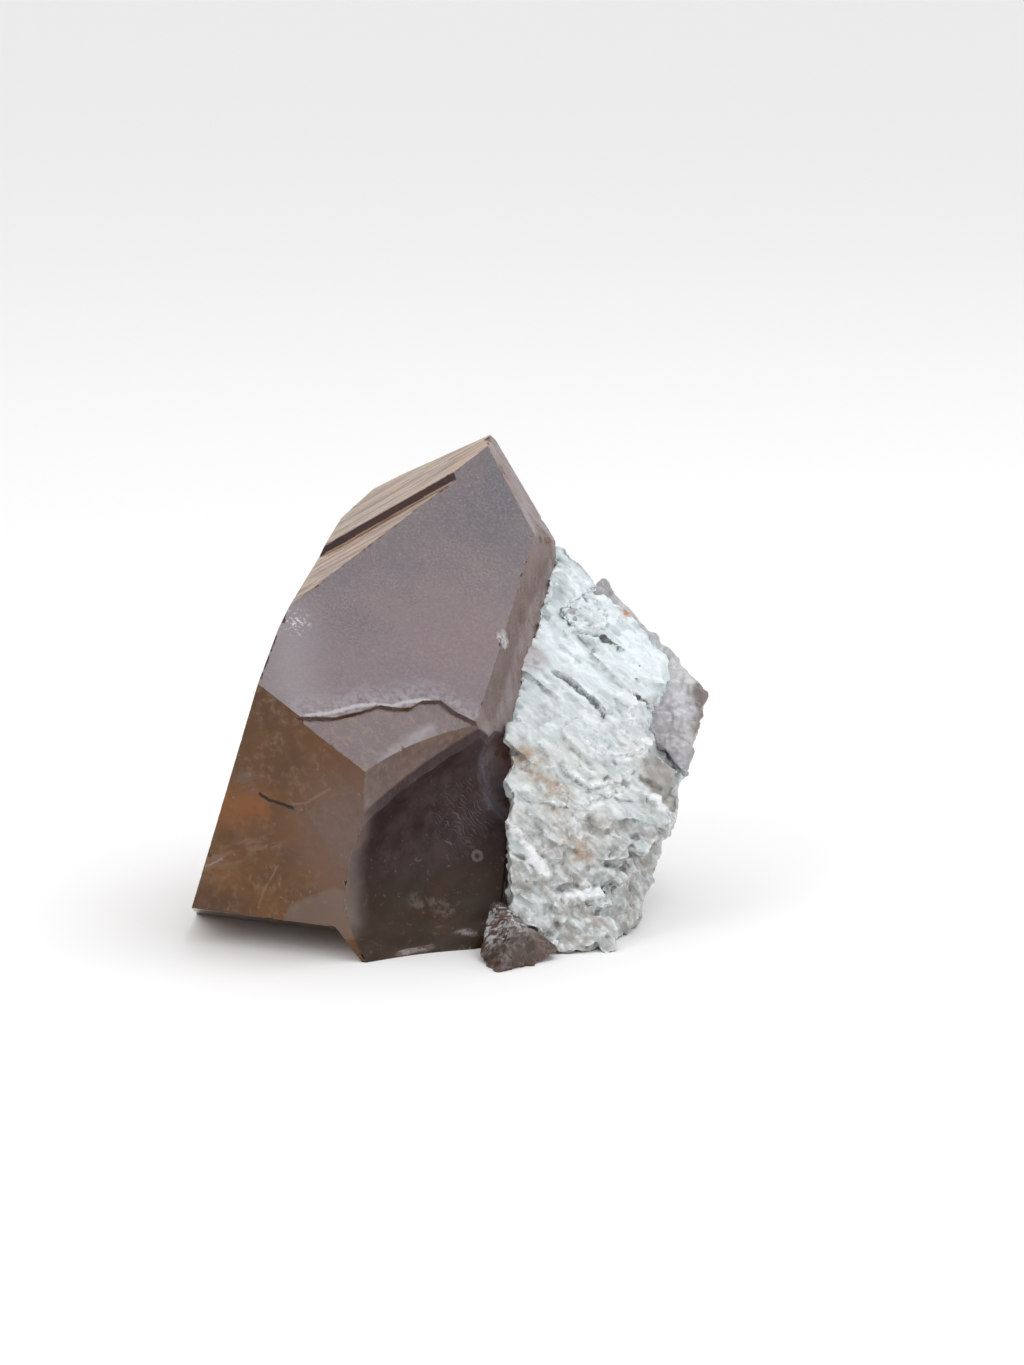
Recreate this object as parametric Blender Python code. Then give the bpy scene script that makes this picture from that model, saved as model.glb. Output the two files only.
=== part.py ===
"""Smoky quartz crystal grown on a broken lump of white feldspar.

Sizes are in millimetres and become metres where a mesh is made. X runs to the right, Y away from
the viewer and Z up. Flat faces are stated as planes: the bearing of the outward normal (0 along +X,
90 along +Y), its slope above the horizon, both in degrees, and the distance of the plane from the
middle of the specimen.
"""
import math
import random

import bmesh
import bpy
from mathutils import Matrix, Vector, noise

MM = 0.001

# The specimen stands on its lowest points, this far below its middle
FLOOR = 29.2
# Clearance kept between two minerals that grew against each other
GAP = 0.3
# Edge of the blank that each block is cut from
BLANK = 180.0

# Main crystal: three steep growth faces meet in a chisel tip that leans back
CRYSTAL = {
    "front": (-66.8, 48.5, 0.3),
    "lower_left": (-113.1, -0.3, 14.1),
    "upper_left": (-164.2, 65.0, 17.9),
    "upper_right": (-10.0, 37.4, 14.7),
    "right": (-19.9, 6.1, 3.4),
    "left": (176.3, 17.2, 22.2),
    "left_shoulder": (173.8, 21.3, 22.3),
    "left_back": (154.8, 12.0, 28.6),
    "crest": (106.8, 30.7, 43.9),
    "right_back": (52.5, -9.7, 29.3),
    "back": (100.0, -6.0, 36.0),
    "base": (0.0, -90.0, FLOOR),
}

# Growth step cut into the upper left face
STEP_DROP = 0.7
STEP_RISER = (-95.6, 47.3, -2.0)

# Thin layer flaked off the foot of the front face, and its ragged upper edge,
# measured across and up the face
FLAKE_DROP = 0.45
FLAKE_EDGE = ((-22.0, 0.2), (-18.0, -0.4), (-14.9, -0.8), (-11.6, -0.3), (-8.8, 0.4), (-7.2, -0.2),
              (-5.2, -0.4), (-3.4, 0.5), (-1.1, 0.3), (0.2, -1.5), (2.0, -3.0), (6.0, -6.2))
FLAKE_FOOT = -34.0

# Rounded breaks: bearing and slope they face, turn of their long axis in that face, middle,
# and radii along the long axis, across it and outwards
CORNER_CHIP = {"bearing": -51.9, "slope": -9.1, "turn": 0.0, "middle": (24.8, -41.1, -10.8),
               "radii": (46.0, 46.0, 46.0)}
SIDE_CHIP = {"bearing": -32.0, "slope": -19.0, "turn": 0.0, "middle": (12.5, 0.8, -9.1),
             "radii": (9.0, 9.0, 9.0)}
FRONT_BREAK = {"bearing": -40.0, "slope": -10.2, "turn": 30.0, "middle": (14.1, -25.2, -21.0),
               "radii": (40.0, 18.9, 30.0)}
BACK_BREAK = {"bearing": 84.0, "slope": -6.0, "turn": 60.0, "middle": (-3.0, 44.0, -10.0),
              "radii": (21.0, 17.0, 14.0)}
# Height and spacing of the waves that spread over such a break, as in broken glass
WAVE_HEIGHT = 0.1
WAVE_SPACING = 4.2

# Undercut below the lower left face
UNDERCUT = {
    "roof": (64.5, 70.0, -28.6),
    "end": (-8.5, 40.2, -25.4),
    "far_left": (180.0, 0.0, 50.0),
    "front": (-90.0, 0.0, 40.0),
    "back": (90.0, 0.0, 60.0),
    "bottom": (0.0, -90.0, 50.0),
}

# Feldspar lump on the crystal's right side
FELDSPAR = {
    "upper": (-73.0, 48.3, -7.3),
    "middle": (-80.1, 29.3, -6.0),
    "right_front": (-34.6, 13.9, 9.9),
    "top_right": (51.0, 2.3, 34.1),
    "right": (4.6, -14.7, 32.1),
    "lower_right": (1.8, -27.4, 33.2),
    "back": (75.4, -2.9, 38.4),
    "top": (73.2, 65.4, 26.5),
    "left": (180.0, 0.0, -7.4),
    "base": (0.0, -90.0, FLOOR),
}

# Smaller smoky quartz that shows along the top right edge and at the right shoulder
SHOULDER = {
    "front": (-60.6, 44.3, -5.2),
    "upper": (22.0, 36.0, 28.9),
    "outer": (-3.5, -16.0, 30.4),
    "inner": (-171.1, -35.9, -17.7),
    "back": (78.1, -5.9, 37.7),
    "end": (157.1, 47.6, 2.6),
}

# Lump of quartz that grew against the foot of the crystal
FOOT = {
    "front": (-87.0, 17.7, 6.0),
    "front_left": (-152.6, -2.7, 3.6),
    "front_right": (-50.5, 12.2, 9.2),
    "top": (-122.2, 79.2, -22.9),
    "top_left": (-154.6, 32.8, -14.6),
    "top_right": (7.4, 55.5, -16.5),
    "right": (-8.8, 16.9, 7.2),
    "back": (90.0, -12.0, 6.0),
    "under_left": (176.5, -53.9, 20.6),
    "under_front": (-6.6, -66.4, 31.3),
    "base": (0.0, -90.0, FLOOR),
}

# Cleavage plates: how square they are (1 is oval), how deep they root and how the blades lie
BOXINESS = 0.5
PLATE_ROOT = 3.0
BLADE_TURN = -57.0
SEED = 11

SMOKY = (0.16, 0.10, 0.075, 1.0)
DARK_SMOKY = (0.13, 0.09, 0.075, 1.0)
GREY_SMOKY = (0.28, 0.23, 0.21, 1.0)
WHITE_FELDSPAR = (0.74, 0.76, 0.73, 1.0)


def normal_of(bearing, slope):
    """Unit vector that points along a bearing and a slope, both in degrees."""
    turn, rise = math.radians(bearing), math.radians(slope)
    return Vector((math.cos(rise) * math.cos(turn), math.cos(rise) * math.sin(turn), math.sin(rise)))


def face_frame(face):
    """Frame on a face, in mm: X level along it, Y up its slope and Z outwards."""
    bearing, slope, distance = face
    out = normal_of(bearing, slope)
    across = Vector((0.0, 0.0, 1.0)).cross(out).normalized()
    up = out.cross(across)
    frame = Matrix((across, up, out)).transposed().to_4x4()
    frame.translation = out * distance
    return frame


def material(name, colour, roughness):
    """Principled material with a plain colour."""
    made = bpy.data.materials.new(name)
    made.use_nodes = True
    shader = made.node_tree.nodes["Principled BSDF"]
    shader.inputs["Base Color"].default_value = colour
    shader.inputs["Roughness"].default_value = roughness
    shader.inputs["Metallic"].default_value = 0.0
    return made


def add_object(name, bm):
    """Turn a bmesh in mm into an object in metres."""
    bmesh.ops.scale(bm, vec=(MM, MM, MM), verts=bm.verts)
    mesh = bpy.data.meshes.new(name)
    bm.to_mesh(mesh)
    bm.free()
    made = bpy.data.objects.new(name, mesh)
    bpy.context.scene.collection.objects.link(made)
    return made


def block_mesh(faces, grow=0.0):
    """Convex solid inside all the given faces, each moved outwards by grow."""
    bm = bmesh.new()
    bmesh.ops.create_cube(bm, size=BLANK)
    for bearing, slope, distance in faces.values():
        out = normal_of(bearing, slope)
        geometry = bm.verts[:] + bm.edges[:] + bm.faces[:]
        cut = bmesh.ops.bisect_plane(bm, geom=geometry, dist=1e-5, plane_co=out * (distance + grow),
                                     plane_no=out, clear_outer=True)
        rim = [item for item in cut["geom_cut"] if isinstance(item, bmesh.types.BMEdge)]
        if rim:
            bmesh.ops.edgeloop_fill(bm, edges=rim)
    bmesh.ops.recalc_face_normals(bm, faces=bm.faces)
    return bm


def block(name, faces, grow=0.0):
    """Object of a convex solid, see block_mesh."""
    return add_object(name, block_mesh(faces, grow))


def prism_mesh(bm, frame, outline, bottom, top):
    """Closed prism over an outline of (x, y) points. bottom and top give its heights there."""
    low = [bm.verts.new(frame @ Vector((x, y, bottom(x, y)))) for x, y in outline]
    high = [bm.verts.new(frame @ Vector((x, y, top(x, y)))) for x, y in outline]
    bm.faces.new(low[::-1])
    bm.faces.new(high)
    for i in range(len(outline)):
        j = (i + 1) % len(outline)
        bm.faces.new((low[i], low[j], high[j], high[i]))


def boolean(target, other, operation, solver="EXACT"):
    """Cut or join another closed object into the target."""
    modifier = target.modifiers.new(f"{operation.lower()}_{other.name}", "BOOLEAN")
    modifier.operation = operation
    modifier.object = other
    modifier.solver = solver


def islands_of(bm):
    """Groups of vertices that hang together."""
    left = set(bm.verts)
    groups = []
    while left:
        reached = [left.pop()]
        for vert in reached:
            for edge in vert.link_edges:
                other = edge.other_vert(vert)
                if other in left:
                    left.remove(other)
                    reached.append(other)
        groups.append(reached)
    return groups


def settle_shape(target):
    """Fix the Booleans into the mesh and drop crumbs that they cut loose."""
    bm = bmesh.new()
    bm.from_object(target, bpy.context.evaluated_depsgraph_get())
    groups = sorted(islands_of(bm), key=len)
    crumbs = [vert for group in groups[:-1] for vert in group]
    bmesh.ops.delete(bm, geom=crumbs, context="VERTS")
    bmesh.ops.dissolve_degenerate(bm, dist=1e-7, edges=bm.edges)
    bm.to_mesh(target.data)
    bm.free()
    for modifier in list(target.modifiers):
        bpy.data.objects.remove(modifier.object, do_unlink=True)
    target.modifiers.clear()


def ball(name, bearing, slope, turn, middle, radii, detail, wave_height=0.0):
    """Rounded cutter that faces along a bearing, with radii along its turned axis, across and out.

    Where it has waves, they spread from the upper end of the break.
    """
    frame = face_frame((bearing, slope, 0.0)) @ Matrix.Rotation(math.radians(turn), 4, "Z")
    start = Vector((0.75, 0.1, -0.65))
    bm = bmesh.new()
    bmesh.ops.create_icosphere(bm, subdivisions=detail, radius=1.0)
    for vert in bm.verts:
        direction = vert.co.normalized()
        wave = math.sin(math.tau * direction.angle(start) * max(radii) / WAVE_SPACING)
        lump = noise.noise(direction * 2.1)
        size = 1.0 + wave_height * (wave + 4.0 * lump) / max(radii)
        stretched = Vector(part * radius for part, radius in zip(direction * size, radii))
        vert.co = frame @ stretched + Vector(middle)
    return add_object(name, bm)


def growth_step():
    """Wedge that lowers the part of the upper left face in front of the riser."""
    bearing, slope, distance = CRYSTAL["upper_left"]
    riser_bearing, riser_slope, riser_distance = STEP_RISER
    return block("growth_step", {
        "tread": (bearing + 180.0, -slope, STEP_DROP - distance),
        "riser": (riser_bearing + 180.0, -riser_slope, -riser_distance),
    })


def front_flake():
    """Thin layer that has come off the foot of the front face."""
    frame = face_frame(CRYSTAL["front"])
    edge = list(FLAKE_EDGE)
    outline = [(edge[0][0], FLAKE_FOOT), (edge[-1][0], FLAKE_FOOT)] + edge[::-1]
    bm = bmesh.new()
    prism_mesh(bm, frame, outline, lambda x, y: -FLAKE_DROP, lambda x, y: 5.0)
    return add_object("front_flake", bm)


def smoky_quartz():
    """Main crystal with its step, flaked layer, chips, breaks and undercut."""
    crystal = block("smoky_quartz", CRYSTAL)
    cutters = [
        growth_step(),
        front_flake(),
        ball("corner_chip", **CORNER_CHIP, detail=5),
        ball("side_chip", **SIDE_CHIP, detail=4),
        ball("front_break", **FRONT_BREAK, detail=6, wave_height=WAVE_HEIGHT),
        ball("back_break", **BACK_BREAK, detail=4, wave_height=WAVE_HEIGHT),
        block("undercut", UNDERCUT),
    ]
    for cutter in cutters:
        boolean(crystal, cutter, "DIFFERENCE")
    settle_shape(crystal)
    crystal.data.materials.append(material("smoky_quartz", SMOKY, 0.06))
    return crystal


def plate(lump, frame, centre, size, turn, dip, lift, rng, points=9):
    """Join a thin cleavage plate to a face, buried at one side and standing proud at the other.

    size is its length and width, turn the bearing of its length in the face and dip that of its
    raised side, both in degrees.
    """
    middle = Vector(centre)
    along = Vector((math.cos(math.radians(turn)), math.sin(math.radians(turn))))
    side = Vector((-along.y, along.x))
    down = Vector((math.cos(math.radians(dip)), math.sin(math.radians(dip))))
    half_length, half_width = 0.5 * size[0], 0.5 * size[1]
    reach = abs(down.dot(along)) * half_length + abs(down.dot(side)) * half_width
    outline = []
    for i in range(points):
        angle = math.tau * (i + rng.uniform(-0.35, 0.35)) / points
        cosine, sine = math.cos(angle), math.sin(angle)
        spread = rng.uniform(0.82, 1.12)
        x = spread * half_length * math.copysign(abs(cosine) ** BOXINESS, cosine)
        y = spread * half_width * math.copysign(abs(sine) ** BOXINESS, sine)
        outline.append(tuple(middle + along * x + side * y))
    sunk = -0.4 * lift

    def top(x, y):
        share = 0.5 + 0.5 * (Vector((x, y)) - middle).dot(down) / reach
        return sunk + (lift - sunk) * share

    bm = bmesh.new()
    prism_mesh(bm, frame, outline, lambda x, y: -PLATE_ROOT, top)
    boolean(lump, add_object("plate", bm), "UNION", "MANIFOLD")


def upper_blades(lump, rng):
    """Long cleavage blades of the upper face, each raised along its lower left side."""
    frame = face_frame(FELDSPAR["upper"])
    turn = math.radians(BLADE_TURN)
    along = Vector((math.cos(turn), math.sin(turn)))
    across = Vector((-along.y, along.x))
    for row in range(8):
        for column in (-1, 0, 1):
            centre = Vector((14.5, 6.0)) + across * 2.1 * row + along * (9.0 * column - 6.0)
            centre += along * rng.uniform(-2.0, 2.0)
            plate(lump, frame, centre, (rng.uniform(9.0, 13.0), rng.uniform(3.0, 4.4)),
                  BLADE_TURN + rng.uniform(-5.0, 5.0), BLADE_TURN - 90.0 + rng.uniform(-15.0, 15.0),
                  rng.uniform(0.5, 1.1), rng)


def middle_ledges(lump, rng):
    """Stacked ledges below the blades, each with a ragged lower lip."""
    frame = face_frame(FELDSPAR["middle"])
    for row in range(5):
        for column in range(4):
            centre = (11.0 + 4.0 * column + 1.6 * (row % 2) + rng.uniform(-0.9, 0.9),
                      -3.5 - 2.9 * row + rng.uniform(-0.7, 0.7))
            plate(lump, frame, centre, (rng.uniform(5.5, 9.0), rng.uniform(3.6, 5.2)),
                  rng.uniform(-42.0, -8.0), rng.uniform(-135.0, -75.0), rng.uniform(0.7, 1.5), rng)


def lower_grains(lump, rng):
    """Small broken grains of the lower front."""
    frame = face_frame(FELDSPAR["middle"])
    for row in range(5):
        for column in range(5 if row < 2 else 4):
            centre = (9.8 + 2.6 * column + rng.uniform(-0.8, 0.8),
                      -17.8 - 2.7 * row + rng.uniform(-0.8, 0.8))
            plate(lump, frame, centre, (rng.uniform(2.8, 4.8), rng.uniform(2.0, 3.2)),
                  rng.uniform(-80.0, 80.0), rng.uniform(-150.0, -20.0), rng.uniform(0.6, 1.5),
                  rng, 7)


def side_ledges(lump, rng):
    """Coarse cleavage ledges on the sides, top and back of the lump."""
    bare = block_mesh(FELDSPAR)
    for name in ("right_front", "top_right", "right", "lower_right", "back"):
        out = normal_of(*FELDSPAR[name][:2])
        frame = face_frame(FELDSPAR[name])
        polygon = max(bare.faces, key=lambda face: face.normal.dot(out))
        middle = polygon.calc_center_median()
        for corner in polygon.verts:
            for share in (0.2, 0.55):
                place = frame.inverted() @ middle.lerp(corner.co, share)
                plate(lump, frame, place.xy, (rng.uniform(5.0, 9.0), rng.uniform(3.5, 6.0)),
                      rng.uniform(-40.0, 40.0), rng.uniform(-130.0, -50.0), rng.uniform(0.4, 0.9),
                      rng)
    bare.free()


def feldspar():
    """White feldspar lump with its blades, ledges and grains, fitted around the quartz."""
    rng = random.Random(SEED)
    lump = block("feldspar", FELDSPAR)
    for place in (upper_blades, middle_ledges, lower_grains, side_ledges):
        place(lump, rng)
    boolean(lump, block("below_floor", {"top": (0.0, 90.0, -FLOOR)}), "DIFFERENCE", "MANIFOLD")
    for name, faces in (("crystal_room", CRYSTAL), ("shoulder_room", SHOULDER), ("foot_room", FOOT)):
        boolean(lump, block(name, faces, GAP), "DIFFERENCE", "MANIFOLD")
    settle_shape(lump)
    lump.data.materials.append(material("feldspar", WHITE_FELDSPAR, 0.45))
    return lump


def small_quartz(name, faces, colour, roughness):
    """Lesser quartz grain, kept clear of the main crystal."""
    grain = block(name, faces)
    boolean(grain, block(f"{name}_room", CRYSTAL, GAP), "DIFFERENCE")
    settle_shape(grain)
    grain.data.materials.append(material(name, colour, roughness))
    return grain


def stand_at_origin(pieces):
    """Move the specimen so that the middle of its foot is at the origin."""
    bpy.context.view_layer.update()
    corners = [Vector(corner) for piece in pieces for corner in piece.bound_box]
    low = Vector(min(corner[axis] for corner in corners) for axis in range(3))
    high = Vector(max(corner[axis] for corner in corners) for axis in range(3))
    specimen = bpy.data.objects.new("specimen", None)
    bpy.context.scene.collection.objects.link(specimen)
    for piece in pieces:
        piece.parent = specimen
    specimen.location = (-0.5 * (low.x + high.x), -0.5 * (low.y + high.y), -low.z)


def main():
    for old in list(bpy.data.objects):
        bpy.data.objects.remove(old, do_unlink=True)
    stand_at_origin([
        smoky_quartz(),
        feldspar(),
        small_quartz("shoulder_quartz", SHOULDER, GREY_SMOKY, 0.25),
        small_quartz("foot_quartz", FOOT, DARK_SMOKY, 0.3),
    ])


main()
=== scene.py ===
"""Smoky quartz on feldspar: the looks of the specimen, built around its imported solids.

Laid out as a Blender add-on and run as a script. Places are in millimetres from the middle of
the specimen: X to the right, Y away from the viewer, Z up. A mark is a point of the photo, in
pixels, and falls on the solids where the photo's camera sees it. A few that lie on a rim or
behind a ledge are plain places.
"""
import math

import bmesh
import bpy
from bpy.props import FloatProperty, FloatVectorProperty, PointerProperty
from mathutils import Matrix, Vector, noise
from mathutils.bvhtree import BVHTree
from mathutils.kdtree import KDTree


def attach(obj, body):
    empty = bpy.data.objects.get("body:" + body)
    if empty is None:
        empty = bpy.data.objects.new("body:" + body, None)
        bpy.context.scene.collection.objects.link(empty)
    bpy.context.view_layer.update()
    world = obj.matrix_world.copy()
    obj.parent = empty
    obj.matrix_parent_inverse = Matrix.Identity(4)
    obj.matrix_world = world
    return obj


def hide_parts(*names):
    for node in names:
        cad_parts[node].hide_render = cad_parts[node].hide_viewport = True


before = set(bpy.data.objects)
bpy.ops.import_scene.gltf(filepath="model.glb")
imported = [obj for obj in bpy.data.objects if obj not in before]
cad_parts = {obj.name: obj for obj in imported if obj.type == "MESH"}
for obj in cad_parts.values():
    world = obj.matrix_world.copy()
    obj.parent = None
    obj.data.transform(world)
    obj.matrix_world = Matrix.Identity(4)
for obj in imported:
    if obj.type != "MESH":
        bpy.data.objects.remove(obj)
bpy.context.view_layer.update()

bl_info = {
    "name": "Smoky quartz on feldspar",
    "version": (1, 0, 0),
    "blender": (4, 5, 0),
    "location": "3D View > Sidebar > Specimen",
    "description": "Builds the crystal, its feldspar, the lesser quartz and a studio stage",
    "category": "Mesh",
}

MM = 0.001
# Points of a copied solid that are closer than this, in metres, become one
MERGE = 0.001 * MM
# Rounds in which the long edges of a piece are split, at most
SPLIT_ROUNDS = 7
# Distance between the points that stand for a crystal's edge, in mm
EDGE_SPACING = 0.3
# Middle of the specimen, from which the solids were laid out, in mm from the origin
MIDDLE = Vector((-0.23, -12.25, 29.2))
UP = Vector((0.0, 0.0, 1.0))
# Without a fixed seed, the vectors of noise change from one run to the next
NOISE_SEED = 7
# Middle of a pattern's random colours, which moves nothing
MID_COLOUR = (0.5, 0.5, 0.5)

# The photo's camera: slope in degrees, distance, and the place it aims at
CAMERA_SLOPE = 12.0
CAMERA_DISTANCE = 500.0
AIM = Vector((7.56, 0.51, 2.41))
# Middle and height of the photo in pixels, the size of a pixel at the aim, and the width of film
PHOTO_MIDDLE = (512.0, 682.5)
PHOTO_HEIGHT = 1365
PIXEL = 0.12
SENSOR = 36.0

# Angles in degrees: sharper edges of the crystal are worn, and the shading is broken at the others
WORN_ANGLE = 22.0
CRYSTAL_CREASE = 28.0
FELDSPAR_CREASE = 35.0
GRAIN_CREASE = 30.0

# Outward directions of the crystal's faces, as bearing and slope in degrees
FRONT_FACE = (-66.8, 48.5)
LOWER_LEFT_FACE = (-113.1, -0.3)
UPPER_LEFT_FACE = (-164.2, 65.0)
RIGHT_FACE = (-19.9, 6.1)
UPPER_RIGHT_FACE = (-10.0, 37.4)
# Riser of the growth step, which the streaks of the upper left face follow
STEP_RISER = (-95.6, 47.3)

# Rounded breaks: bearing and slope they face, turn of their long axis, middle and radii
FRONT_BREAK = ((-40.0, -10.2), 30.0, (14.1, -25.2, -21.0), (40.0, 18.9, 30.0))
BACK_BREAK = ((84.0, -6.0), 60.0, (-3.0, 44.0, -10.0), (21.0, 17.0, 14.0))
CORNER_CHIP = ((24.8, -41.1, -10.8), 46.0)
SIDE_CHIP = ((12.5, 0.8, -9.1), 9.0)

# Feldspar: its two broad faces with their distances, and the way its cleavage blades run
FELDSPAR_UPPER = (-73.0, 48.3, -7.3)
FELDSPAR_MIDDLE = (-80.1, 29.3, -6.0)
BLADE_WAY = Vector((0.71, -0.41, -0.57)).normalized()
# How near to the quartz the feldspar and the lesser grains close up to it
CONTACT_REACH = 1.4
GRAIN_REACH = 1.0

# Bearing and slope of fine lines and streaks: in the hollow, on the lower left face and on grains
FINE_LINE_WAY = (10.0, 39.0)
VEIL_WAY = (-22.0, 18.0)
SHOULDER_WAY = (-60.0, -55.0)
FOOT_WAY = (-20.0, 22.0)

# Light panels: place from the aim of the camera, and width, in metres
OVERHEAD_PANEL = (Vector((0.255, 0.04, 0.6)), 0.34)
SIDE_PANEL = (Vector((-0.45, -0.35, 0.42)), 0.35)


def direction(bearing, slope):
    """Unit vector along a bearing and a slope in degrees."""
    turn, rise = math.radians(bearing), math.radians(slope)
    return Vector((math.cos(rise) * math.cos(turn), math.cos(rise) * math.sin(turn), math.sin(rise)))


def solids_tree(*nodes):
    """Search tree over the surfaces of CAD solids."""
    corners, faces = [], []
    for node in nodes:
        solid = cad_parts[node].data
        faces += [[len(corners) + i for i in face.vertices] for face in solid.polygons]
        corners += [vertex.co / MM - MIDDLE for vertex in solid.vertices]
    return BVHTree.FromPolygons(corners, faces)


SPECIMEN = solids_tree("smoky_quartz", "feldspar", "shoulder_quartz", "foot_quartz")
# Direction from the specimen to the camera, and the photo's upward direction
TO_CAMERA = direction(-90.0, CAMERA_SLOPE)
PHOTO_UP = TO_CAMERA.cross(Vector((1.0, 0.0, 0.0)))


def seen_at(x, y):
    """Place on the solids that the camera sees at a point of the photo."""
    eye = AIM + TO_CAMERA * CAMERA_DISTANCE
    aside, above = (x - PHOTO_MIDDLE[0]) * PIXEL, (PHOTO_MIDDLE[1] - y) * PIXEL
    point = AIM + Vector((aside, 0.0, 0.0)) + PHOTO_UP * above
    place = SPECIMEN.ray_cast(eye, (point - eye).normalized())[0]
    if place is None:
        raise ValueError(f"No solid is seen at {x}, {y}")
    return place


def seen(*points):
    """Places on the solids that the camera sees at points of the photo."""
    return [seen_at(*point) for point in points]


# Ragged edge of the flaked layer, and the stretch of the tip's right edge that is chipped
LEDGE = seen((307, 715), (330, 713), (355, 706), (373, 704), (393, 706), (405, 702), (425, 700),
             (437, 704), (452, 712), (470, 722))
TIP_EDGE = (Vector((4.8, 36.0, 25.5)), Vector((11.1, 30.9, 16.9)), Vector((9.6, 22.0, 12.4)))
EDGE_CHIP = seen_at(505, 640)
# Browner strip of the right side, next to the front face
SIDE_STRIP = seen((490, 700), (520, 600), (545, 544))
# Marks of the front face: dark haze, white dust at the left corner, pale edge, streak at its foot
DARK_HAZE = seen_at(355, 622)
CORNER_DUST = seen_at(293, 620)
PALE_EDGE = seen((293, 686), (288, 620))
FOOT_STREAK = seen((384, 761), (428, 729))

# Marks of the lower left face
CRACK = seen((260, 794), (269, 800), (279, 803), (293, 808))
CRACK_TAIL = seen((293, 804), (306, 803), (330, 789))
SCRATCH = seen((278, 865), (264, 891), (258, 908))
CORNER_LINE = seen((204, 867), (222, 859))
VEIL_BAND = seen((205, 864), (224, 856), (251, 846), (273, 842))
STAIN = seen((222, 806), (261, 807))
# Pale patch at the foot, partly painted light bounced from the floor
PALE_PATCH = seen((301, 918), (336, 904), (342, 923))
VEIL_SPOT = seen_at(246, 782)
HAZY_SIDE = seen_at(355, 837)

# Marks of the hollow
HOLLOW_VEIL = seen((353, 825), (345, 869), (344, 914))
HOLLOW_SCRATCH = seen((436, 836), (451, 844))
HOLLOW_HAZE = seen_at(493, 796)
# Pale patch at the foot of the hollow, partly painted light where that part faces up
HOLLOW_PATCH = seen((415, 902), (444, 908))
FINE_LINES = seen_at(463, 810)
RING = seen_at(477, 856)
# Painted highlight: a glossy spot in the hollow, painted in the frost colour
HIGHLIGHT_SPOT = Vector((5.0, 4.0, -8.6))

# Corner of a ledge of the feldspar, behind the plates in front of it
LEDGE_CORNER = Vector((20.9, 10.8, -4.6))
# Plate edges of the feldspar, drawn so that the raised side is on the left hand
LIPS = (
    seen((590, 740), (601, 751), (622, 758), (640, 754), (651, 745)),
    seen((564, 767), (576, 776), (590, 785), (604, 786), (617, 781), (632, 772)),
    seen((560, 788), (570, 803), (590, 806), (606, 800), (624, 789)),
    (seen_at(604, 710), LEDGE_CORNER, *seen((633, 721), (630, 710), (637, 704), (635, 695))),
    seen((598, 628), (609, 622), (604, 605), (586, 582)),
    seen((669, 824), (667, 807), (648, 796), (626, 785)),
)
# Grooves below the blades' edges, darkened along their lines with painted shade
GROOVES = (
    (*seen((557, 670), (576, 684), (592, 699), (604, 710)), LEDGE_CORNER),
    seen((565, 615), (583, 630), (602, 637), (623, 648)),
    seen((635, 695), (655, 711)),
)
# Raised white flakes and blades
RIDGES = (
    seen((514, 831), (528, 849), (546, 875)),
    seen((569, 898), (601, 892)),
    seen((656, 797), (662, 812), (666, 828)),
)
# Pits, darkened with painted shade
PITS = seen((635, 836), (612, 850), (608, 888), (590, 820))
TAN_BAND = seen((522, 756), (540, 775), (556, 795))
TAN_SPOT = seen((569, 851), (587, 851))
SMOOTH_GREY = seen((660, 768), (665, 792))
ORANGE_SPOT = Vector((22.6, 25.8, 7.0))
# Frosty crust where the feldspar laps onto the crystal
CRUST = Vector((9.6, 16.0, 3.0))
# Marks of the lesser grains
SHOULDER_WHITE = seen((665, 664), (689, 676))
FOOT_FLAKES = seen_at(499, 920)


def axes_of(face):
    """Level direction across a face, direction up its slope, and its outward direction."""
    out = direction(*face[:2])
    across = UP.cross(out).normalized()
    return across, out.cross(across), out


def break_axes(shape):
    """Middle of a rounded break and its three axes, each divided by its radius."""
    face, turn, middle, radii = shape
    across, up, out = axes_of(face)
    spin = Matrix.Rotation(math.radians(turn), 3, out)
    axes = (spin @ across, spin @ up, out)
    return Vector(middle), [axis / radius for axis, radius in zip(axes, radii)]


def smooth_step(value, low, high):
    """0 below a limit and 1 above another, smooth between them."""
    share = min(1.0, max(0.0, (value - low) / (high - low)))
    return share * share * (3.0 - 2.0 * share)


def nearest_on(points, place):
    """Nearest point on a broken line, and the direction of the line there."""
    best = None
    for start, end in zip(points, points[1:]):
        way = end - start
        share = min(1.0, max(0.0, (place - start).dot(way) / way.length_squared))
        foot = start + way * share
        gap = (place - foot).length
        if best is None or gap < best[0]:
            best = (gap, foot, way.normalized())
    return best


def deselect_all():
    """Leave nothing selected, out of edit mode."""
    if bpy.context.object and bpy.context.object.mode != "OBJECT":
        bpy.ops.object.mode_set(mode="OBJECT")
    bpy.ops.object.select_all(action="DESELECT")


def make_active(piece):
    """Select one piece alone and make it the active one."""
    deselect_all()
    piece.select_set(True)
    bpy.context.view_layer.objects.active = piece


def copy_of(node, name):
    """Own copy of a CAD solid, with its loose triangles merged into one closed mesh."""
    piece = bpy.data.objects.new(name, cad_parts[node].data.copy())
    bpy.context.scene.collection.objects.link(piece)
    piece.data.materials.clear()
    make_active(piece)
    bpy.ops.object.mode_set(mode="EDIT")
    bpy.ops.mesh.select_all(action="SELECT")
    bpy.ops.mesh.remove_doubles(threshold=MERGE)
    bpy.ops.mesh.dissolve_limited(angle_limit=math.radians(0.2))
    bpy.ops.object.mode_set(mode="OBJECT")
    return piece


def modify(piece, kind, **settings):
    """Add a modifier to a piece and apply it."""
    make_active(piece)
    modifier = piece.modifiers.new(kind.lower(), kind)
    for key, value in settings.items():
        setattr(modifier, key, value)
    bpy.ops.object.modifier_apply(modifier=modifier.name)


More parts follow.
